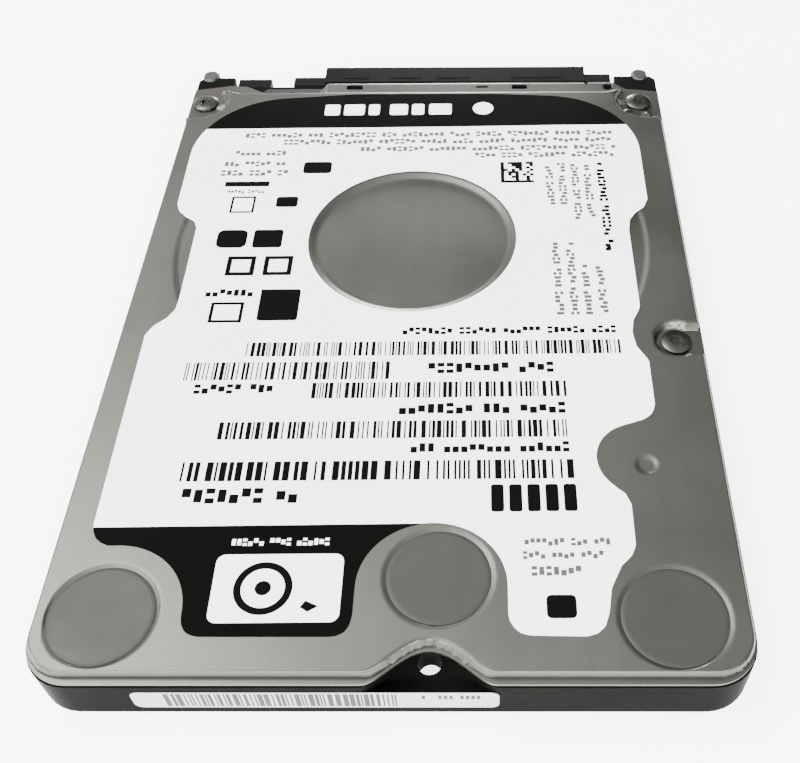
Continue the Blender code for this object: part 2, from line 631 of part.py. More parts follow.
def board():
    outline = board_room(0.25) + [(27.55, 47.6), (-27.55, 47.6)]
    holes = [circle(centre, 0.9, 12) for centre in BOARD_SCREWS.values()]
    prism("circuit_board", outline, BOARD, "board_green", holes=holes)
    chips = {
        "controller_chip": (-7.0, 33.0, 10.0, 10.0),
        "memory_chip": (9.0, 33.5, 9.0, 6.0),
        "motor_driver_chip": (19.5, 16.0, 6.0, 6.0),
        "flash_chip": (-18.5, 27.5, 4.0, 3.6),
    }
    for name, (x, y, wide, deep) in chips.items():
        box = rectangle(x - wide / 2, y - deep / 2, x + wide / 2, y + deep / 2)
        prism(name, box, (CHIP_FLOOR, 1.82), "chip_black")
    windows = [rectangle(-12.4, 27.6, -1.6, 38.4), rectangle(4.0, 30.0, 14.0, 37.0)]
    prism("board_insulator", rectangle(-15.5, 26.4, 17.0, 42.5), (1.15, 1.45), "filter_felt", holes=windows)
    for place, centre in BOARD_SCREWS.items():
        profile = [(0, 0.03), (1.5, 0.03), (1.6, 0.12), (1.6, 0.32), (0.7, 0.32), (0.7, 2.25), (0, 2.25)]
        screw = turned(f"board_screw_{place}", profile, centre, "screw_steel", 20)
        cut(screw, f"board_drive_{place}", circle(centre, 0.6, 6), -0.5, 0.22)


def connectors():
    """The plug with its two tongues and its guides, and the block of jumper pins beside it."""
    back = 46.3
    foot = BOARD[1] + 0.05
    left, right = PLUG
    plug = prism("sata_connector", rectangle(left, back, right, HALF_L), (foot, 6.15), "connector_black")
    for name, x0, x1 in (("signal", -13.8, -4.0), ("power", 0.0, 21.2)):
        room = cut(plug, f"{name}_room", rectangle(x0, back + 1.0, x1, HALF_L + 1), 2.0, 5.4)
        cut(room, f"{name}_tongue", rectangle(x0 + 1.0, back, x1 - 1.0, HALF_L - 0.2), 3.1, 4.3)
        key = x0 + 1.0 if name == "signal" else x1 - 2.2
        cut(room, f"{name}_key", rectangle(key, back, key + 1.2, HALF_L - 0.2), 2.6, 4.2)
    add(plug, "left_guide", rectangle(left - 4.8, back + 0.05, left + 0.4, 48.4), foot, 5.5)
    add(plug, "right_guide", rectangle(right - 0.3, back + 0.05, right + 4.0, 49.0), foot, 5.5)
    left, right = JUMPER
    jumper = prism("jumper_block", rectangle(left, back, right, 48.4), (foot, 5.2), "connector_black")
    cut(jumper, "jumper_room", rectangle(left + 0.6, back + 0.8, right - 0.6, HALF_L), 1.9, 4.6)
    pin = 0.5
    for column in (left + 1.5, left + 3.5):
        for row in (2.6, 3.9):
            post = rectangle(column - pin / 2, back + 0.4, column + pin / 2, 48.2)
            add(jumper, f"jumper_pin_{column}_{row}", post, row - pin / 2, row + pin / 2)


def main():
    clear_scene()
    base_casting()
    top_cover()
    cover_gasket()
    cover_screws()
    seals()
    labels()
    filters()
    fixed_motor()
    rotor()
    actuator()
    actuator_motor()
    latch()
    load_ramp()
    arm_flex()
    board()
    connectors()


main()
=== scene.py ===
"""A 2.5-inch hard disk drive: its stamped cover, printed label, castings and electronics.

Lengths are millimetres in the drive's own frame and are turned into metres when a mesh is made.
+Z points up through the label and +Y to the connector end.
"""

import json
import math
import random

import bmesh
import bpy
import numpy as np
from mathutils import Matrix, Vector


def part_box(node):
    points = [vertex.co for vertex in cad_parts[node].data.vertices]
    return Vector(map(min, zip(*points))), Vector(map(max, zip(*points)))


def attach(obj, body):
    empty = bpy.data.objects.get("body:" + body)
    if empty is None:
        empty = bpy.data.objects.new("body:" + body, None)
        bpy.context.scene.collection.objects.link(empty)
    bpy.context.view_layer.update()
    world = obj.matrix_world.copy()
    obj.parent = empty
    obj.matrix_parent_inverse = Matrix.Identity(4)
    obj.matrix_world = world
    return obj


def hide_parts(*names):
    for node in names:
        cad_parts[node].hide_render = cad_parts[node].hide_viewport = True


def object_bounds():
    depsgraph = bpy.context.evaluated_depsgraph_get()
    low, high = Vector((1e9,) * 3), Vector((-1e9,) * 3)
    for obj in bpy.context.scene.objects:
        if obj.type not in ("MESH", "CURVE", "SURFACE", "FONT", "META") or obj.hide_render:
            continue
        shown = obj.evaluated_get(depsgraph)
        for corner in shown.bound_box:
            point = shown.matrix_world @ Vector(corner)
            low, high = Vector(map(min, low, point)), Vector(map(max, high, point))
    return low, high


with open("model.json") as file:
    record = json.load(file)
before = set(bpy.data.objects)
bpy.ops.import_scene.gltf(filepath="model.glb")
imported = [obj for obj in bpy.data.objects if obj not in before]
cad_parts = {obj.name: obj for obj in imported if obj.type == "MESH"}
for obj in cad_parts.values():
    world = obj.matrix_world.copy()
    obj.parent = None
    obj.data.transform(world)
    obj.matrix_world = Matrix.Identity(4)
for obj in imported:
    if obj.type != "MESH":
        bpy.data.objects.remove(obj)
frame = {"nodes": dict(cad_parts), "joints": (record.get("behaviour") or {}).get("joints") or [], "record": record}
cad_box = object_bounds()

MM = 0.001
NODES = frame["nodes"]
HALF_W = cad_box[1][0] / MM
HALF_L = cad_box[1][1] / MM
FRONT = -HALF_L + 0.06


def joint_place(name):
    for joint in frame["joints"]:
        if joint["name"] == name:
            return (joint["pos_m"][0] / MM, joint["pos_m"][1] / MM)
    raise ValueError(name)


def middle(node):
    low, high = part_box(node)
    return ((low[0] + high[0]) / 2 / MM, (low[1] + high[1]) / 2 / MM)


SPINDLE = joint_place("spindle_spin")
SEALED = {place: middle(f"cover_screw_{place}") for place in ("front_left", "front_centre", "front_right")}
OPEN = {place: middle(f"cover_screw_{place}") for place in ("back_left", "back_right", "right_middle")}
BREATHER = middle("breather_filter")
NOTCH_X = 3.7

# Heights of the stamped cover
FLANGE_Z = 5.95
PLATEAU_Z = 6.88
STRIP_Z = 6.32
SEAL_FLOOR_Z = 6.71
SHEET = 0.3

# Round features of the cover, as radii
DISC_R = 13.4
STEP_R = 30.4
SEAL_R = 5.2
SEAL_RECESS_R = 5.55
BREATHER_R = 1.25
BAY_R = 2.7

# The label: its height over the cover, its print's thickness and its slight turn
LABEL_RISE = 0.09
LABEL_HOLE_R = 13.42
PRINT_RISE = 0.012
SKEW = 0.013

# The plug
CONTACT_PITCH = 1.27
CONTACT_HALF_W = 0.32

# The camera
LENS = 47.07
LENS_SHIFT = (-0.0995, -0.0071)
CAMERA_PLACE = (9.3, -91.0, 97.9)
CAMERA_TURN = (40.51, 0.43, 0.21)
FLOOR_Z = -0.0002


# Outlines


def arc(centre, radius, start, end, steps):
    points = []
    for i in range(steps + 1):
        angle = math.radians(start + (end - start) * i / steps)
        points.append((centre[0] + radius * math.cos(angle), centre[1] + radius * math.sin(angle)))
    return points


def oval(centre, half_width, half_height, start, end, steps):
    points = []
    for x, y in arc((0.0, 0.0), 1.0, start, end, steps):
        points.append((centre[0] + half_width * x, centre[1] + half_height * y))
    return points


def circle(centre, radius, steps=48):
    return arc(centre, radius, 0.0, 360.0 - 360.0 / steps, steps - 1)


def rectangle(x0, y0, x1, y1):
    return [(x0, y0), (x1, y0), (x1, y1), (x0, y1)]


def rounded_rectangle(x0, y0, x1, y1, radius, steps=5):
    points = arc((x1 - radius, y0 + radius), radius, -90, 0, steps)
    points += arc((x1 - radius, y1 - radius), radius, 0, 90, steps)
    points += arc((x0 + radius, y1 - radius), radius, 90, 180, steps)
    points += arc((x0 + radius, y0 + radius), radius, 180, 270, steps)
    return points


def notch_outline(apex, half_width, rim):
    points = []
    steps = 28
    for i in range(steps + 1):
        across = -1 + 2 * i / steps
        rise = (0.5 + 0.5 * math.cos(math.pi * across)) ** 0.8
        points.append((NOTCH_X + half_width * across, rim + (apex - rim) * rise))
    return points


def flange_outline():
    """The edge of the cover's sheet, with its ears beside the plug."""
    wide = HALF_W - 0.12
    radius = 4.7
    low = FRONT + 0.1
    points = arc((-wide + radius, low + radius), radius, 180, 270, 16)
    points += notch_outline(-46.65, 6.3, low)
    points += arc((wide - radius, low + radius), radius, 270, 360, 16)
    points += [(wide, 43.7), (30.0, 44.4), (28.4, 45.95), (24.7, 46.0), (24.2, 44.75), (23.7, 46.0)]
    points += [(-15.0, 46.0), (-16.1, 43.6), (-21.5, 43.6), (-21.9, 43.95), (-22.3, 43.6)]
    points += [(-24.2, 43.6), (-27.0, 45.3), (-29.6, 45.6), (-wide, 44.5)]
    return points


def plateau_outline():
    """The raised panel: it curves round the two back screws and the notch."""
    x = 34.6
    front = -49.35
    back = 42.7
    radius = 4.3
    points = arc((-x + radius, front + radius), radius, 180, 270, 16)
    points += notch_outline(-46.1, 6.1, front)
    points += arc((x - radius, front + radius), radius, 270, 360, 16)
    right = (OPEN["back_right"][0] + 0.9, OPEN["back_right"][1] - 0.2)
    left = (OPEN["back_left"][0] - 0.9, OPEN["back_left"][1] - 0.2)
    points += [(x, 35.4)]
    points += arc(right, 4.2, 290, 130, 14)
    points += [(27.2, back), (-27.8, back)]
    points += arc(left, 4.2, 50, -110, 14)
    points += [(-x, 35.4)]
    return points


def label_outline():
    """The label's edge: it steps round the seals, the screw bay and the breather hole."""
    points = [(-5.9, -45.6), (-5.1, -45.5), (-4.4, -45.1), (-4.0, -44.4), (-3.8, -43.4)]
    points += oval((3.7, -40.2), 7.5, 7.2, 180, 0, 28)
    points += [(11.2, -43.1), (11.3, -43.9), (11.8, -44.8), (12.5, -45.3), (13.4, -45.5), (18.6, -45.6)]
    points += [(19.6, -45.3), (20.4, -44.6), (20.9, -43.1), (21.3, -40.5), (22.5, -38.0), (23.6, -36.9)]
    points += [(24.1, -35.7), (24.1, -30.8), (23.6, -29.5), (22.6, -28.6)]
    points += arc((25.6, -24.9), 4.7, 228, 112, 14)
    points += [(26.5, -19.6), (27.4, -18.9), (27.9, -17.7), (27.9, -11.0), (27.4, -10.1), (26.7, -8.8)]
    points += [(26.4, -6.6), (26.7, -4.5), (27.4, -3.1), (27.7, -2.2), (27.6, 11.4), (27.9, 13.6)]
    points += [(28.8, 15.0), (30.0, 16.1), (30.6, 17.7), (30.6, 26.5)]
    points += arc((17.5, 28.2), 13.1, 0, 84, 18)
    points += [(9.7, 41.8), (-10.4, 41.8)]
    points += arc((-19.2, 27.8), 13.1, 94, 180, 18)
    points += [(-32.1, 16.9), (-31.6, 15.6), (-30.5, 14.4), (-29.2, 13.5), (-28.7, 12.2), (-28.5, -0.6)]
    points += [(-28.6, -2.6), (-29.4, -4.1), (-30.7, -5.3), (-31.4, -6.8), (-31.1, -33.0), (-31.0, -33.8)]
    points += [(-30.6, -34.7), (-29.9, -35.3), (-29.2, -35.6)]
    points += arc(SEALED["front_left"], 7.7, 96, 0, 22)
    points += [(-20.1, -44.2), (-19.7, -45.0), (-19.1, -45.4), (-18.3, -45.6)]
    return points


# Distance fields


def distance_inside(points, outline):
    """The distance of each point to a closed outline, positive inside."""
    corners = np.array(outline)
    ends = np.roll(corners, -1, axis=0)
    nearest = np.full(len(points), np.inf)
    inside = np.zeros(len(points), bool)
    for (ax, ay), (bx, by) in zip(corners, ends):
        length = (bx - ax) ** 2 + (by - ay) ** 2
        if length < 1e-12:
            continue
        along = ((points[:, 0] - ax) * (bx - ax) + (points[:, 1] - ay) * (by - ay)) / length
        along = np.clip(along, 0, 1)
        gap = np.hypot(points[:, 0] - ax - along * (bx - ax), points[:, 1] - ay - along * (by - ay))
        nearest = np.minimum(nearest, gap)
        if ay != by:
            crossing = (ay > points[:, 1]) != (by > points[:, 1])
            inside ^= crossing & (points[:, 0] < (bx - ax) * (points[:, 1] - ay) / (by - ay) + ax)
    return np.where(inside, nearest, -nearest)


def smooth(value):
    value = np.clip(value, 0, 1)
    return value * value * (3 - 2 * value)


def from_centre(points, centre):
    return np.hypot(points[:, 0] - centre[0], points[:, 1] - centre[1])


def shoulder(inside, width):
    """A pressed edge: steep at its foot and rounded at the top."""
    along = np.clip(inside / width, 0, 1)
    return np.sqrt(1 - (1 - along) ** 2)


def offset(place, step):
    return (place[0] + step[0], place[1] + step[1])


def ridge(points, start, end, width):
    """1 on a straight line between two points, falling to 0 at its width."""
    ax, ay = start
    bx, by = end
    length = (bx - ax) ** 2 + (by - ay) ** 2
    along = np.clip(((points[:, 0] - ax) * (bx - ax) + (points[:, 1] - ay) * (by - ay)) / length, 0, 1)
    gap = np.hypot(points[:, 0] - ax - along * (bx - ax), points[:, 1] - ay - along * (by - ay))
    return smooth(1 - gap / width) * (1 - 0.75 * along)


def cover_height(points):
    """The height of the cover's upper face at each (x, y)."""
    height = np.full(len(points), FLANGE_Z)
    strip = distance_inside(points, rectangle(-15.1, 36.0, 28.3, 45.8))
    height += (STRIP_Z - FLANGE_Z) * shoulder(strip, 0.4)
    panel = shoulder(distance_inside(points, plateau_outline()), 0.34)
    height += (PLATEAU_Z - height) * panel
    height -= 0.16 * smooth((STEP_R - from_centre(points, SPINDLE)) / 0.5)
    height -= 0.33 * smooth((DISC_R - from_centre(points, SPINDLE)) / 1.1)
    for centre in SEALED.values():
        away = from_centre(points, centre)
        height -= (PLATEAU_Z - SEAL_FLOOR_Z) * smooth((SEAL_RECESS_R - away) / 0.3)
    bay_centre = OPEN["right_middle"]
    bay = np.maximum(BAY_R - from_centre(points, bay_centre),
                     distance_inside(points, rectangle(bay_centre[0], -9.8, 40.0, -5.0)))
    height -= (height - FLANGE_Z) * smooth((bay + 0.15) / 0.6)
    height -= 0.16 * smooth((BREATHER_R - from_centre(points, BREATHER)) / 0.35)
    right = OPEN["back_right"]
    for start, end in (((-3.9, 0.4), (-2.0, 0.2)), ((-2.6, -3.4), (-1.4, -1.8)), ((1.0, -4.3), (0.8, -2.3))):
        line = ridge(points, offset(right, start), offset(right, end), 0.6)
        height = np.maximum(height, FLANGE_Z + (PLATEAU_Z - FLANGE_Z) * line * 0.95)
    left = OPEN["back_left"]
    line = ridge(points, offset(left, (3.6, -0.8)), offset(left, (1.9, -0.5)), 0.6)
    return np.maximum(height, FLANGE_Z + (PLATEAU_Z - FLANGE_Z) * line * 0.95)


def label_height(points):
    """The label bridges the cover's round step in one gentle slope."""
    return PLATEAU_Z + LABEL_RISE - 0.06 * smooth((31.5 - from_centre(points, SPINDLE)) / 9.0)


# Meshes


def link(name, mesh, material, body):
    obj = bpy.data.objects.new(name, mesh)
    bpy.context.scene.collection.objects.link(obj)
    mesh.materials.append(material)
    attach(obj, body)
    return obj


def grid_lines(start, end, step, fine_spans):
    """Evenly spaced lines, three times as close within the fine spans."""
    lines = []
    line = start
    while line < end:
        lines.append(line)
        fine = any(low <= line < high for low, high in fine_spans)
        line += step / 3 if fine else step
    return np.array(lines)


def sheet_piece(name, keep, height, step, thickness, material):
    """A sheet over the places where keep() is positive, with its edge on keep's zero line."""
    xs = grid_lines(-HALF_W - step, HALF_W + step, step, ((-40.0, -33.2), (33.2, 40.0)))
    ys = grid_lines(-HALF_L - step, HALF_L + step, step, ((-51.0, -48.0),))
    grid = np.stack(np.meshgrid(xs, ys, indexing="ij"), -1).reshape(-1, 2)
    inside = keep(grid)
    rows = len(ys)
    points = []
    numbers = {}

    def corner(i):
        if i not in numbers:
            numbers[i] = len(points)
            points.append(grid[i])
        return numbers[i]

    def crossing(i, j):
        key = (min(i, j), max(i, j))
        if key not in numbers:
            numbers[key] = len(points)
            share = inside[i] / (inside[i] - inside[j])
            points.append(grid[i] + share * (grid[j] - grid[i]))
        return numbers[key]

    faces = []
    kept = inside > 0
    for i in range(len(xs) - 1):
        base = i * rows
        for j in range(rows - 1):
            corners = (base + j, base + rows + j, base + rows + j + 1, base + j + 1)
            if not any(kept[c] for c in corners):
                continue
            face = []
            for here, following in zip(corners, corners[1:] + corners[:1]):
                if kept[here]:
                    face.append(corner(here))
                if kept[here] != kept[following]:
                    face.append(crossing(here, following))
            faces.append(face)
    flat = np.array(points)
    level = height(flat)
    mesh = bpy.data.meshes.new(name)
    mesh.from_pydata(np.column_stack([flat, level]) * MM, [], faces)
    bm = bmesh.new()
    bm.from_mesh(mesh)
    bottom = bmesh.ops.extrude_face_region(bm, geom=list(bm.faces), use_keep_orig=True)
    for item in bottom["geom"]:
        if isinstance(item, bmesh.types.BMVert):
            item.co.z -= thickness * MM
    bmesh.ops.recalc_face_normals(bm, faces=bm.faces)
    bm.to_mesh(mesh)
    bm.free()
    mesh.shade_smooth()
    mesh.set_sharp_from_angle(angle=math.radians(50))
    return link(name, mesh, material, "enclosure")


def add_prism(bm, outline, bottom, top):
    """One closed extruded outline, added to a mesh that may hold others."""
    lower = [bm.verts.new((x, y, bottom)) for x, y in outline]
    upper = [bm.verts.new((x, y, top)) for x, y in outline]
    bm.faces.new(list(reversed(lower)))
    bm.faces.new(upper)
    for i in range(len(outline)):
        j = (i + 1) % len(outline)
        bm.faces.new((lower[i], lower[j], upper[j], upper[i]))


def turned(bm, profile, centre, steps=48):
    """A closed profile of (radius, height) points turned about an upright line."""
    rings = []
    for radius, height in profile:
        if radius == 0:
            rings.append([bm.verts.new((centre[0], centre[1], height))] * steps)
        else:
            rings.append([bm.verts.new((x, y, height)) for x, y in circle(centre, radius, steps)])
    for ring, above in zip(rings, rings[1:] + rings[:1]):
        for i in range(steps):
            j = (i + 1) % steps
            corners = []
            for corner in (ring[i], ring[j], above[j], above[i]):
                if corner not in corners:
                    corners.append(corner)
            if len(corners) > 2:
                bm.faces.new(corners)


def piece(name, bm, material, body="enclosure", bevel=0.0, turn=None):
    """Stores a mesh made in millimetres as a piece that rides on a body."""
    for vertex in bm.verts:
        place = turn(vertex.co) if turn else vertex.co
        vertex.co = (place[0] * MM, place[1] * MM, place[2] * MM)
    bmesh.ops.recalc_face_normals(bm, faces=bm.faces)
    mesh = bpy.data.meshes.new(name)
    bm.to_mesh(mesh)
    bm.free()
    mesh.shade_smooth()
    mesh.set_sharp_from_angle(angle=math.radians(35))
    obj = link(name, mesh, material, body)
    if bevel:
        soften(obj, bevel)
    return obj


def soften(obj, width, segments=2, joined=True):
    """Rounds the sharp edges of a piece, after joining its faces where they were stored apart."""
    if not joined:
        weld = obj.modifiers.new("joined_faces", "WELD")
        weld.merge_threshold = 0.002 * MM
    modifier = obj.modifiers.new("rounded_edges", "BEVEL")
    modifier.width = width * MM
    modifier.segments = segments
    modifier.limit_method = "ANGLE"
    modifier.angle_limit = math.radians(40)
    modifier.harden_normals = True


def flat_piece(name, outlines, bottom, top, material, bevel=0.0, turn=None):
    bm = bmesh.new()
    for outline in outlines:
        add_prism(bm, outline, bottom, top)
    return piece(name, bm, material, bevel=bevel, turn=turn)


# Materials


class Nodes:
    """A short way to build one material's node tree."""

    def __init__(self, name, roughness, metallic=0.0):
        self.material = bpy.data.materials.new(name)
        self.material.use_nodes = True
        self.tree = self.material.node_tree
        self.shader = self.tree.nodes["Principled BSDF"]
        self.shader.inputs["Roughness"].default_value = roughness
        self.shader.inputs["Metallic"].default_value = metallic
        self.place = self.add("ShaderNodeTexCoord").outputs["Object"]

    def add(self, kind, **values):
        node = self.tree.nodes.new(kind)
        for key, value in values.items():
            setattr(node, key, value)
        return node

    def set(self, socket, value):
        if isinstance(value, bpy.types.NodeSocket):
            self.tree.links.new(value, socket)
        elif value is not None:
            socket.default_value = value

    def stretched(self, scale):
        mapping = self.add("ShaderNodeMapping")
        self.set(mapping.inputs["Vector"], self.place)
        mapping.inputs["Scale"].default_value = scale
        return mapping.outputs["Vector"]

    def noise(self, scale, detail=3.0, roughness=0.5, stretch=None):
        node = self.add("ShaderNodeTexNoise")
        self.set(node.inputs["Vector"], self.stretched(stretch) if stretch else self.place)
        node.inputs["Scale"].default_value = scale
        node.inputs["Detail"].default_value = detail
        node.inputs["Roughness"].default_value = roughness
        return node.outputs["Fac"]

    def math(self, operation, a, b=None, c=None):
        node = self.add("ShaderNodeMath", operation=operation)
        for socket, value in zip(node.inputs, (a, b, c)):
            self.set(socket, value)
        return node.outputs[0]

    def spread(self, factor, low, high, lowest=0.3, highest=0.7):
        node = self.add("ShaderNodeMapRange")
        for socket, value in zip(node.inputs, (factor, lowest, highest, low, high)):
            self.set(socket, value)
        return node.outputs[0]

    def mix(self, factor, a, b):
        node = self.add("ShaderNodeMix", data_type="RGBA")
        self.set(node.inputs["Factor"], factor)
        self.set(node.inputs["A"], (*a, 1.0) if isinstance(a, tuple) else a)
        self.set(node.inputs["B"], (*b, 1.0) if isinstance(b, tuple) else b)
        return node.outputs["Result"]

    def colour(self, value):
        self.set(self.shader.inputs["Base Color"], (*value, 1.0) if isinstance(value, tuple) else value)

    def rough(self, value):
        self.set(self.shader.inputs["Roughness"], value)

    def bump(self, height, distance, strength=0.5):
        node = self.add("ShaderNodeBump")
        node.inputs["Strength"].default_value = strength
        node.inputs["Distance"].default_value = distance * MM
        self.set(node.inputs["Height"], height)
        self.set(self.shader.inputs["Normal"], node.outputs["Normal"])

    def axis(self, name):
        node = self.add("ShaderNodeSeparateXYZ")
        self.set(node.inputs[0], self.place)
        return node.outputs[name]


def worn_surface(name, dark, light, roughness, metallic, grain=900.0, depth=0.02, specular=0.5):
    """A surface whose colour, gloss and relief vary finely, with slow blotches under them."""
    nodes = Nodes(name, roughness, metallic)
    nodes.shader.inputs["Specular IOR Level"].default_value = specular
    fine = nodes.noise(grain, 4.0, 0.6)
    slow = nodes.noise(90.0, 2.0)
    blotches = nodes.math("MULTIPLY", slow, 0.4)
    grains = nodes.math("MULTIPLY_ADD", fine, 0.6, blotches)
    nodes.colour(nodes.mix(grains, dark, light))
    nodes.rough(nodes.spread(slow, roughness * 0.85, min(1.0, roughness * 1.2)))
    nodes.bump(fine, depth, 0.35)
    return nodes.material


def steel_cover():
    nodes = Nodes("stamped_steel", 0.36, 1.0)
    rolled = nodes.noise(500.0, 5.0, 0.65, (1.0, 0.12, 1.0))
    slow = nodes.noise(55.0, 3.0)
    base = nodes.mix(nodes.spread(slow, 0.0, 1.0), (0.074, 0.073, 0.065), (0.090, 0.089, 0.080))
    nodes.colour(nodes.mix(nodes.spread(rolled, 0.0, 0.35), base, (0.066, 0.065, 0.058)))
    nodes.rough(nodes.spread(slow, 0.33, 0.41))
    nodes.bump(rolled, 0.006, 0.25)
    return nodes.material


def label_stock(name, split):
    """Printed film: white paper with two black bands, below and above the printed part."""
    nodes = Nodes(name, 0.5)
    slow = nodes.noise(60.0, 2.0)
    fibre = nodes.noise(2500.0, 3.0, 0.7)
    white = nodes.mix(nodes.spread(slow, 0.0, 1.0), (0.86, 0.865, 0.87), (0.91, 0.91, 0.905))
    if split:
        along = nodes.axis("Y")
        across = nodes.axis("X")
        upper = nodes.math("GREATER_THAN", nodes.math("MULTIPLY_ADD", across, -SKEW, along), 33.8 * MM)
        lower = nodes.math("LESS_THAN", nodes.math("MULTIPLY_ADD", across, -SKEW, along), -33.15 * MM)
        left = nodes.math("LESS_THAN", across, 2.6 * MM)
        black = nodes.math("MAXIMUM", upper, nodes.math("MULTIPLY", lower, left))
        ink = nodes.mix(nodes.spread(slow, 0.0, 1.0), (0.0015, 0.0016, 0.0014), (0.0025, 0.0026, 0.0023))
        nodes.colour(nodes.mix(black, white, ink))
    else:
        nodes.colour(white)
    nodes.shader.inputs["Specular IOR Level"].default_value = 0.006
    nodes.rough(nodes.spread(fibre, 0.42, 0.55))
    nodes.bump(fibre, 0.004, 0.2)
    return nodes.material


STEEL = steel_cover()
LABEL = label_stock("printed_label", True)
PAPER = label_stock("label_paper_white", False)
EDGE_PAPER = worn_surface("edge_label_paper", (0.34, 0.345, 0.325), (0.40, 0.40, 0.38),
                          0.5, 0.0, 2500.0, 0.004, 0.2)
INK = worn_surface("label_ink", (0.0015, 0.0016, 0.0015), (0.003, 0.003, 0.0028),
                   0.5, 0.0, 1800.0, 0.003, 0.006)
GREY_INK = worn_surface("edge_label_ink", (0.006, 0.0065, 0.006), (0.016, 0.016, 0.015),
                        0.5, 0.0, 1800.0, 0.003, 0.2)
SOFT_INK = worn_surface("fine_print_ink", (0.03, 0.03, 0.034), (0.06, 0.06, 0.065),
                        0.5, 0.0, 1800.0, 0.003, 0.2)
COATED = worn_surface("black_electrocoat", (0.002, 0.0023, 0.002), (0.006, 0.0065, 0.0055),
                      0.42, 0.0, 700.0, 0.03, 0.003)
FOIL = worn_surface("seal_foil", (0.020, 0.021, 0.018), (0.030, 0.031, 0.027),
                    0.42, 0.25, 160.0, 0.12, 0.2)
SCREW = worn_surface("zinc_screw", (0.035, 0.035, 0.031), (0.075, 0.075, 0.068), 0.26, 1.0, 900.0, 0.01)
PLASTIC = worn_surface("connector_plastic", (0.003, 0.0033, 0.003), (0.007, 0.0075, 0.007),
                       0.45, 0.0, 900.0, 0.02, 0.012)
GOLD = worn_surface("gold_contact", (0.62, 0.40, 0.12), (0.74, 0.50, 0.18), 0.22, 1.0, 900.0, 0.005)
RUBBER = worn_surface("gasket_rubber", (0.010, 0.010, 0.010), (0.020, 0.020, 0.020),
                      0.75, 0.0, 1200.0, 0.02, 0.3)
FELT = worn_surface("filter_felt", (0.50, 0.50, 0.47), (0.74, 0.74, 0.70), 0.95, 0.0, 1600.0, 0.1, 0.2)
MOTOR = worn_surface("ground_steel", (0.24, 0.24, 0.245), (0.36, 0.36, 0.37), 0.32, 1.0, 1200.0, 0.01)
COPPER = worn_surface("enamelled_copper", (0.45, 0.16, 0.05), (0.66, 0.28, 0.10), 0.3, 1.0, 1500.0, 0.03)
NICKEL = worn_surface("nickel_plate", (0.45, 0.44, 0.41), (0.55, 0.54, 0.51), 0.18, 1.0, 600.0, 0.005)
FILM = worn_surface("amber_film", (0.32, 0.11, 0.015), (0.46, 0.18, 0.03), 0.3, 0.0, 800.0, 0.01)
CHIP = worn_surface("chip_epoxy", (0.008, 0.008, 0.009), (0.018, 0.018, 0.019),
                    0.5, 0.0, 2200.0, 0.02, 0.4)
MIRROR = worn_surface("platter_coating", (0.70, 0.70, 0.71), (0.76, 0.76, 0.77), 0.05, 1.0, 300.0, 0.0005)
ALLOY = worn_surface("machined_alloy", (0.46, 0.46, 0.46), (0.60, 0.60, 0.60), 0.3, 1.0, 1000.0, 0.01)
RAMP = worn_surface("ramp_plastic", (0.52, 0.47, 0.36), (0.62, 0.57, 0.45), 0.45, 0.0, 900.0, 0.01)
SLIDER = worn_surface("slider_ceramic", (0.05, 0.05, 0.055), (0.09, 0.09, 0.10), 0.25, 0.0, 2000.0, 0.005)


# Camera, floor and light


def camera():
    data = bpy.data.cameras.new("camera")
    data.sensor_width = 36.0
    data.lens = LENS
    data.shift_x, data.shift_y = LENS_SHIFT
    data.clip_start = 0.005
    obj = bpy.data.objects.new("camera", data)
    obj.location = [v * MM for v in CAMERA_PLACE]
    obj.rotation_euler = [math.radians(v) for v in CAMERA_TURN]
    bpy.context.scene.collection.objects.link(obj)
    bpy.context.scene.camera = obj


def floor():
    nodes = Nodes("studio_floor", 0.7)
    nodes.colour((0.94, 0.94, 0.94))
    nodes.shader.inputs["Emission Color"].default_value = (1.0, 1.0, 1.0, 1.0)
    nodes.shader.inputs["Emission Strength"].default_value = 3.5
    mesh = bpy.data.meshes.new("floor")
    half = 1.5
    corners = [(x, y, FLOOR_Z) for x, y in rectangle(-half, -half, half, half)]
    mesh.from_pydata(corners, [], [(0, 1, 2, 3)])
    mesh.materials.append(nodes.material)
    obj = bpy.data.objects.new("floor", mesh)
    bpy.context.scene.collection.objects.link(obj)


def area_light(name, place, target, size, power):
    data = bpy.data.lights.new(name, "AREA")
    data.shape = "RECTANGLE"
    data.size = size[0]
    data.size_y = size[1]
    data.energy = power
    obj = bpy.data.objects.new(name, data)
    obj.location = place
    direction = [t - p for t, p in zip(target, place)]
    distance = math.sqrt(sum(d * d for d in direction))
    obj.rotation_euler = (math.acos(-direction[2] / distance), 0.0, math.atan2(-direction[0], direction[1]))
    bpy.context.scene.collection.objects.link(obj)


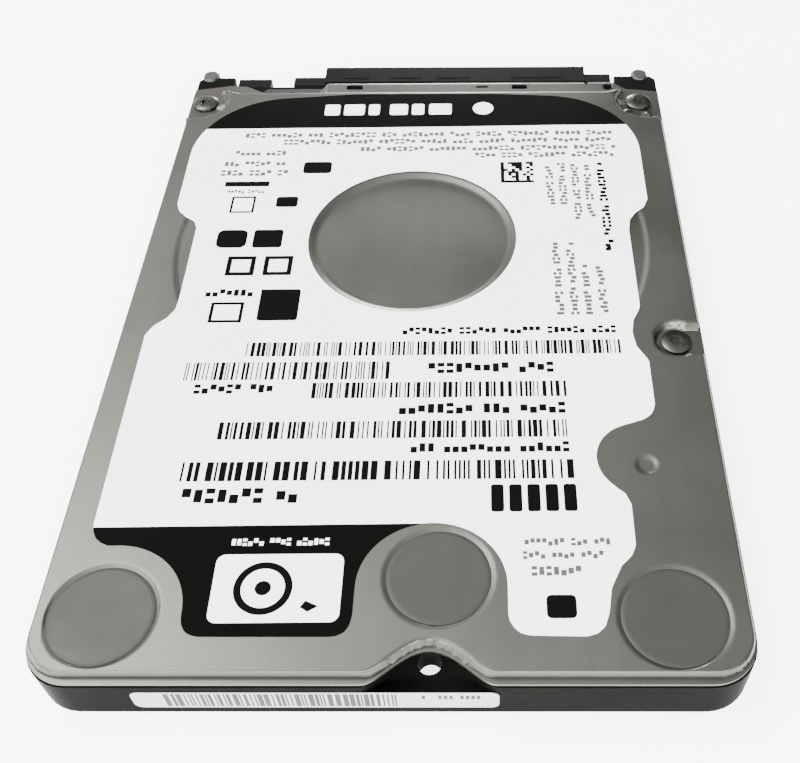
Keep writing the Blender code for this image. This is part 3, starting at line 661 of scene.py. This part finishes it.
def lights():
    """A white studio, brighter at the left, with softboxes for the rims."""
    world = bpy.data.worlds.new("studio")
    world.use_nodes = True
    tree = world.node_tree
    background = tree.nodes["Background"]
    background.inputs["Color"].default_value = (1.0, 1.0, 1.0, 1.0)
    place = tree.nodes.new("ShaderNodeTexCoord")
    split = tree.nodes.new("ShaderNodeSeparateXYZ")
    ramp = tree.nodes.new("ShaderNodeMapRange")
    for socket, value in zip(list(ramp.inputs)[1:5], (-0.42, -0.05, 5.0, 1.0)):
        socket.default_value = value
    rise = tree.nodes.new("ShaderNodeMapRange")
    for socket, value in zip(list(rise.inputs)[1:5], (0.62, 0.9, 0.36, 2.0)):
        socket.default_value = value
    product = tree.nodes.new("ShaderNodeMath")
    product.operation = "MULTIPLY"
    tree.links.new(place.outputs["Generated"], split.inputs[0])
    tree.links.new(split.outputs["X"], ramp.inputs[0])
    tree.links.new(split.outputs["Z"], rise.inputs[0])
    tree.links.new(ramp.outputs[0], product.inputs[0])
    tree.links.new(rise.outputs[0], product.inputs[1])
    tree.links.new(product.outputs[0], background.inputs["Strength"])
    bpy.context.scene.world = world
    area_light("back_strip", (-0.02, 0.8, 0.12), (0, 0, 0), (0.12, 0.12), 5.0)
    area_light("front_softbox", (0.0, -0.8, 0.52), (0, 0, 0), (1.6, 0.2), 42.0)
    area_light("high_softbox", (-0.5, 0.4, 1.02), (0, 0, 0), (0.35, 0.35), 8.0)
    area_light("left_softbox", (-0.7, -0.1, 0.15), (0, 0, 0), (0.16, 1.0), 14.0)


camera()
floor()
lights()


# The cover and its label


def cover():
    rim = flange_outline()
    holes = [(-10.7, 44.5, 1.25, 0.55), (14.1, 44.5, 1.15, 0.55), (8.5, 44.55, 0.95, 0.25)]

    def keep(points):
        inside = distance_inside(points, rim)
        for x, y, wide, deep in holes:
            gap = np.maximum(np.abs(points[:, 0] - x) - wide, np.abs(points[:, 1] - y) - deep)
            inside = np.minimum(inside, gap)
        return np.minimum(inside, from_centre(points, (27.3, 44.4)) - 0.7)

    panel = sheet_piece("cover_sheet", keep, cover_height, 0.25, SHEET, STEEL)
    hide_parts("top_cover")


def label():
    rim = label_outline()

    def keep(points):
        return np.minimum(distance_inside(points, rim), from_centre(points, SPINDLE) - LABEL_HOLE_R)

    face = sheet_piece("label_sheet", keep, label_height, 0.4, 0.07, LABEL)
    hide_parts("top_label")


# Printing: rows of plain blocks and bars that stand for text, codes and marks


def skewed(point):
    return (point[0] + SKEW * 0.7 * -point[1], point[1] + SKEW * 0.7 * point[0])


class Ink:
    """Thin slabs of one ink, laid on the label."""

    def __init__(self):
        self.bm = bmesh.new()
        self.lift = 0.0

    def slab(self, outline):
        placed = [skewed(point) for point in outline]
        low = float(label_height(np.array(placed)).max()) + self.lift
        add_prism(self.bm, placed, low - 0.01, low + PRINT_RISE)

    def ring(self, centre, radius, width):
        """A closed ring, as two halves that meet."""
        for start in (0, 180):
            outer = arc(centre, radius, start, start + 180, 24)
            inner = arc(centre, radius - width, start + 180, start, 24)
            self.slab(outer + inner)

    def frame(self, x0, y0, x1, y1, width):
        self.slab(rectangle(x0, y0, x1, y0 + width))
        self.slab(rectangle(x0, y1 - width, x1, y1))
        self.slab(rectangle(x0, y0 + width, x0 + width, y1 - width))
        self.slab(rectangle(x1 - width, y0 + width, x1, y1 - width))

    def bars(self, x0, x1, y0, y1, unit, seed):
        """An upright bar code with bars of one to three units."""
        draw = random.Random(seed)
        x = x0
        while x < x1 - 3 * unit:
            wide = unit * draw.choice((1, 1, 2, 3))
            self.slab(rectangle(x, y0, x + wide, y1))
            x += wide + unit * draw.choice((1, 1, 2, 3))

    def words(self, x0, x1, y, high, seed, upright=False):
        """Plain blocks in word-length groups, along x or, if upright, along y. None has a letter's form."""
        draw = random.Random(seed)
        shapes = (
            ((0.0, 0.0, 0.84, 0.36), (0.0, 0.64, 0.84, 1.0)),
            ((0.0, 0.0, 0.84, 0.58),),
            ((0.0, 0.42, 0.84, 1.0),),
            ((0.0, 0.2, 0.84, 0.8),),
            ((0.04, 0.08, 0.8, 0.92),),
        )
        cell = high * 0.66
        along = x0
        letters = draw.randint(3, 9)
        while along < x1 - cell:
            if letters == 0:
                along += cell * 0.9
                letters = draw.randint(3, 9)
                continue
            for u0, v0, u1, v1 in draw.choice(shapes):
                box = (along + u0 * cell * 0.9, y + v0 * high, along + u1 * cell * 0.9, y + v1 * high)
                self.slab(rectangle(*((box[1], box[0], box[3], box[2]) if upright else box)))
            along += cell
            letters -= 1


def print_label():
    fine = Ink()
    fine.words(-24.9, 27.8, 31.5, 1.15, 1)
    fine.words(-19.3, 27.8, 29.9, 1.15, 2)
    fine.words(-8.3, 27.9, 28.2, 1.15, 3)
    fine.words(7.8, 27.9, 26.6, 1.15, 4)
    for x, low, high, seed in ((17.4, 16.5, 25.6, 5), (19.1, 16.5, 25.6, 6), (20.9, 13.5, 25.6, 7),
                               (22.6, 14.0, 25.6, 8), (17.5, -3.8, 9.4, 9), (19.3, -3.8, 9.4, 10),
                               (21.0, -3.8, 5.4, 11), (22.8, -3.5, 5.4, 12)):
        fine.words(low, high, x, 1.05, seed, upright=True)
    fine.words(-25.7, -18.3, 27.5, 1.1, 13)
    fine.words(-26.9, -18.1, 25.1, 1.1, 14)
    fine.words(-27.1, -17.5, 23.1, 1.2, 15)
    fine.words(-25.6, -20.2, 19.4, 0.7, 16)
    fine.words(12.6, 21.9, -35.9, 0.9, 17)
    fine.words(12.4, 21.1, -37.4, 0.9, 18)
    fine.words(13.2, 19.0, -39.3, 1.1, 19)
    piece("fine_print", fine.bm, SOFT_INK)

    bold = Ink()
    bold.words(-0.9, 24.7, -6.8, 1.15, 20)
    bold.bars(-19.1, 24.9, -10.1, -7.9, 0.14, 21)
    bold.bars(-25.7, -1.5, -13.7, -11.0, 0.15, 22)
    bold.words(2.3, 18.4, -12.9, 1.6, 23)
    bold.bars(-10.8, 18.5, -16.5, -14.2, 0.15, 24)
    bold.words(-24.2, -13.5, -15.7, 1.4, 25)
    bold.words(-0.8, 18.4, -18.9, 1.6, 26)
    bold.bars(-20.5, 18.5, -22.2, -19.8, 0.17, 27)
    bold.words(0.7, 18.4, -24.2, 1.4, 28)
    bold.bars(-23.6, 18.6, -27.7, -25.2, 0.24, 29)
    bold.words(-23.0, -9.7, -30.5, 1.9, 30)
    bold.words(24.6, 25.8, 7.4, 1.1, 31)
    bold.words(7.4, 25.5, 24.4, 1.15, 32, upright=True)
    bold.words(-25.4, -17.0, -0.2, 1.3, 33)
    bold.slab(rectangle(-26.2, 20.8, -20.2, 21.8))
    for i in range(5):
        x = 9.3 + i * 1.9
        bold.slab(rounded_rectangle(x, -31.8, x + 1.35, -28.4, 0.3))
    draw = random.Random(35)
    for x in range(9):
        for y in range(9):
            if 0 in (x, y) or draw.random() < 0.52:
                corner = (11.3 + 0.5 * x, 21.1 + 0.5 * y)
                bold.slab(rectangle(*corner, corner[0] + 0.5, corner[1] + 0.5))
    bold.slab(rounded_rectangle(-15.9, 23.5, -12.0, 26.0, 0.5))
    bold.frame(-24.8, 15.4, -21.6, 18.7, 0.3)
    bold.slab(rounded_rectangle(-18.8, 16.5, -15.9, 18.6, 0.4))
    bold.slab(rounded_rectangle(-25.6, 8.6, -21.7, 12.0, 0.9))
    bold.slab(rounded_rectangle(-20.9, 8.6, -17.1, 12.0, 0.4))
    for x in (-23.6, -18.9):
        bold.frame(x, 3.5, x + 3.6, 7.0, 0.6)
    bold.frame(-24.4, -4.6, -20.4, -1.2, 0.4)
    bold.slab(rounded_rectangle(-18.6, -4.3, -13.7, 1.0, 0.4))
    bold.slab(rounded_rectangle(14.5, -43.9, 17.4, -41.4, 0.5))
    piece("bold_print", bold.bm, INK)

    white = Ink()
    white.slab(rounded_rectangle(-18.1, -44.1, -5.4, -36.6, 0.9))
    for x, wide in ((-14.1, 2.2), (-11.3, 3.0), (-7.7, 1.6), (-4.6, 2.6), (-1.4, 1.8), (1.1, 3.3)):
        white.slab(rounded_rectangle(x, 36.7, x + wide, 39.3, 0.35))
    white.slab(circle((9.0, 38.1), 1.5, 24))
    white.words(-16.9, -6.8, -35.6, 0.85, 40)
    piece("white_print", white.bm, PAPER)

    mark = Ink()
    mark.lift = PRINT_RISE * 0.7
    mark.ring((-13.1, -40.4), 2.9, 0.75)
    mark.slab(circle((-13.1, -40.4), 0.8, 24))
    mark.slab([(-9.3, -42.5), (-8.8, -41.8), (-7.5, -42.4), (-8.5, -43.0)])
    piece("panel_mark", mark.bm, INK)


def onto_front(co):
    """Turns a flat layout of (x, height, depth) onto the front end."""
    return (co[0], -HALF_L + 0.05 - co[2], co[1])


def edge_label():
    low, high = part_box("front_label")
    x0, x1 = low[0] / MM, high[0] / MM
    z0, z1 = low[2] / MM, high[2] / MM
    outline = rounded_rectangle(x0, z0, x1, z1, 0.8)
    strip = flat_piece("edge_label", [outline], 0.0, 0.036, EDGE_PAPER, turn=onto_front)
    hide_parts("front_label")
    wide = x1 - x0
    draw = random.Random(50)
    bars = []
    x = x0 + 0.09 * wide
    while x < x0 + 0.72 * wide:
        bar = draw.choice((0.16, 0.16, 0.32, 0.48))
        bars.append(rectangle(x, z0 + 0.3, x + bar, z1 - 0.25))
        x += bar + draw.choice((0.13, 0.13, 0.26, 0.26))
    row = z0 + 1.9
    x = x0 + 0.79 * wide
    while x < x0 + 0.95 * wide:
        if draw.random() > 0.15:
            bars.append(rectangle(x, row, x + 0.32, row + 0.8))
        x += 0.52
    flat_piece("edge_print", bars, 0.03, 0.048, GREY_INK, turn=onto_front)


# Screws, seals and the plug


def seal(place, centre, seed):
    """A foil disc, slightly dished over the screw, with a few soft wrinkles."""
    bm = bmesh.new()
    bottom = SEAL_FLOOR_Z + 0.015
    top = bottom + 0.07
    dish = top - 0.025
    edge = SEAL_R - 0.08
    profile = [(0, bottom), (edge, bottom), (SEAL_R, bottom + 0.03), (edge, top), (4.7, top)]
    for r in (4.4, 3.9, 3.4, 2.9, 2.4, 1.9, 1.4, 0.9, 0.4):
        profile.append((r, dish + 0.02 * (r / 4.4) ** 2))
    profile.append((0, dish))
    turned(bm, profile, centre, 64)
    draw = random.Random(seed)
    waves = []
    for _ in range(3):
        waves.append((draw.uniform(0, 2 * math.pi), draw.uniform(1.2, 2.2), draw.uniform(0, 6)))
    for vertex in bm.verts:
        if vertex.co.z < top - 0.03:
            continue
        x, y = vertex.co.x - centre[0], vertex.co.y - centre[1]
        fade = smooth((4.9 - math.hypot(x, y)) / 1.5)
        for angle, rate, phase in waves:
            across = x * math.cos(angle) + y * math.sin(angle)
            vertex.co.z += 0.009 * fade * math.sin(rate * across + phase)
    disc = piece(f"foil_seal_{place}", bm, FOIL)
    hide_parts(f"seal_{place}")


def plug_contacts():
    """Gold contacts on the tongues of the plug, and the pins' tails behind it."""
    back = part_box("sata_connector")[0][1] / MM
    groups = (("signal_contacts", -12.5, 7), ("power_contacts", 1.6, 15))
    for name, first, count in groups:
        outlines = []
        for i in range(count):
            x = first + CONTACT_PITCH * i
            left, right = x - CONTACT_HALF_W, x + CONTACT_HALF_W
            outlines.append(rectangle(left, back + 1.1, right, HALF_L - 0.5))
        flat_piece(name, outlines, 3.04, 3.16, GOLD, bevel=0.03)
    pins = []
    for column in (-27.4, -25.4):
        pins.append(rounded_rectangle(column - 0.3, back + 1.0, column + 0.3, 48.34, 0.08, 2))
    for row in (2.6, 3.9):
        flat_piece(f"jumper_pins_{row:.0f}", pins, row - 0.3, row + 0.3, GOLD, bevel=0.05)


def plug_details():
    """Low ribs on the plug's top wall, and the bare machined pads of the two ear lugs."""
    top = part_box("sata_connector")[1][2] / MM
    ribs = []
    for x0, x1 in ((-12.6, -8.7), (-5.8, -0.9), (1.6, 6.5), (12.9, 20.8)):
        ribs.append(rounded_rectangle(x0, 47.2, x1, 49.3, 0.2, 3))
    flat_piece("plug_ribs", ribs, top - 0.05, top + 0.06, PLASTIC, bevel=0.04)
    for x, place in ((-33.3, "left"), (32.6, "right")):
        bm = bmesh.new()
        add_prism(bm, rounded_rectangle(x - 1.15, 47.4, x + 1.15, HALF_L - 0.05, 1.0, 6), 5.0, 5.75)
        piece(f"ear_pad_{place}", bm, BARE, bevel=0.35)


def cad_looks():
    """A material for every CAD node, by the slot that the record gives it."""
    looks = {
        "cover_steel": STEEL, "cast_black": COATED, "label_paper": PAPER, "seal_foil": FOIL,
        "screw_steel": SCREW, "seal_rubber": RUBBER, "filter_felt": FELT, "motor_steel": MOTOR,
        "copper_wire": COPPER, "nickel_magnet": NICKEL, "amber_film": FILM, "board_green": BOARD,
        "chip_black": CHIP, "connector_black": PLASTIC, "platter_mirror": MIRROR, "light_alloy": ALLOY,
        "ramp_plastic": RAMP, "slider_ceramic": SLIDER,
    }
    for part in frame["record"]["subparts"]:
        mesh = NODES[part["node"]].data
        for name in ("custom_normal", "sharp_edge", "sharp_face"):
            if name in mesh.attributes:
                mesh.attributes.remove(mesh.attributes[name])
        mesh.materials.clear()
        mesh.materials.append(looks[part["material_slot"]])
    for name, obj in NODES.items():
        if "screw" in name:
            soften(obj, 0.08, joined=False)
    soften(NODES["sata_connector"], 0.12, joined=False)
    soften(NODES["jumper_block"], 0.08, joined=False)
    soften(NODES["base_casting"], 0.22, 3, joined=False)


def board_material():
    """Green solder mask with the paler tone of the copper tracks under it."""
    nodes = Nodes("solder_mask", 0.35)
    weave = nodes.noise(1500.0, 2.0)
    tracks = nodes.add("ShaderNodeTexVoronoi", feature="DISTANCE_TO_EDGE", distance="MANHATTAN")
    nodes.set(tracks.inputs["Vector"], nodes.place)
    tracks.inputs["Scale"].default_value = 420.0
    lines = nodes.math("LESS_THAN", tracks.outputs["Distance"], 0.09)
    mask = nodes.mix(nodes.spread(weave, 0.0, 1.0), (0.004, 0.040, 0.018), (0.007, 0.058, 0.026))
    nodes.colour(nodes.mix(lines, mask, (0.020, 0.110, 0.045)))
    nodes.bump(lines, 0.02, 0.4)
    return nodes.material


BOARD = board_material()
BARE = worn_surface("bare_casting", (0.040, 0.040, 0.037), (0.065, 0.065, 0.06), 0.45, 0.9, 900.0, 0.02)

cad_looks()
cover()
label()
print_label()
edge_label()
for number, (seal_place, seal_centre) in enumerate(SEALED.items()):
    seal(seal_place, seal_centre, 60 + number)
plug_contacts()
plug_details()
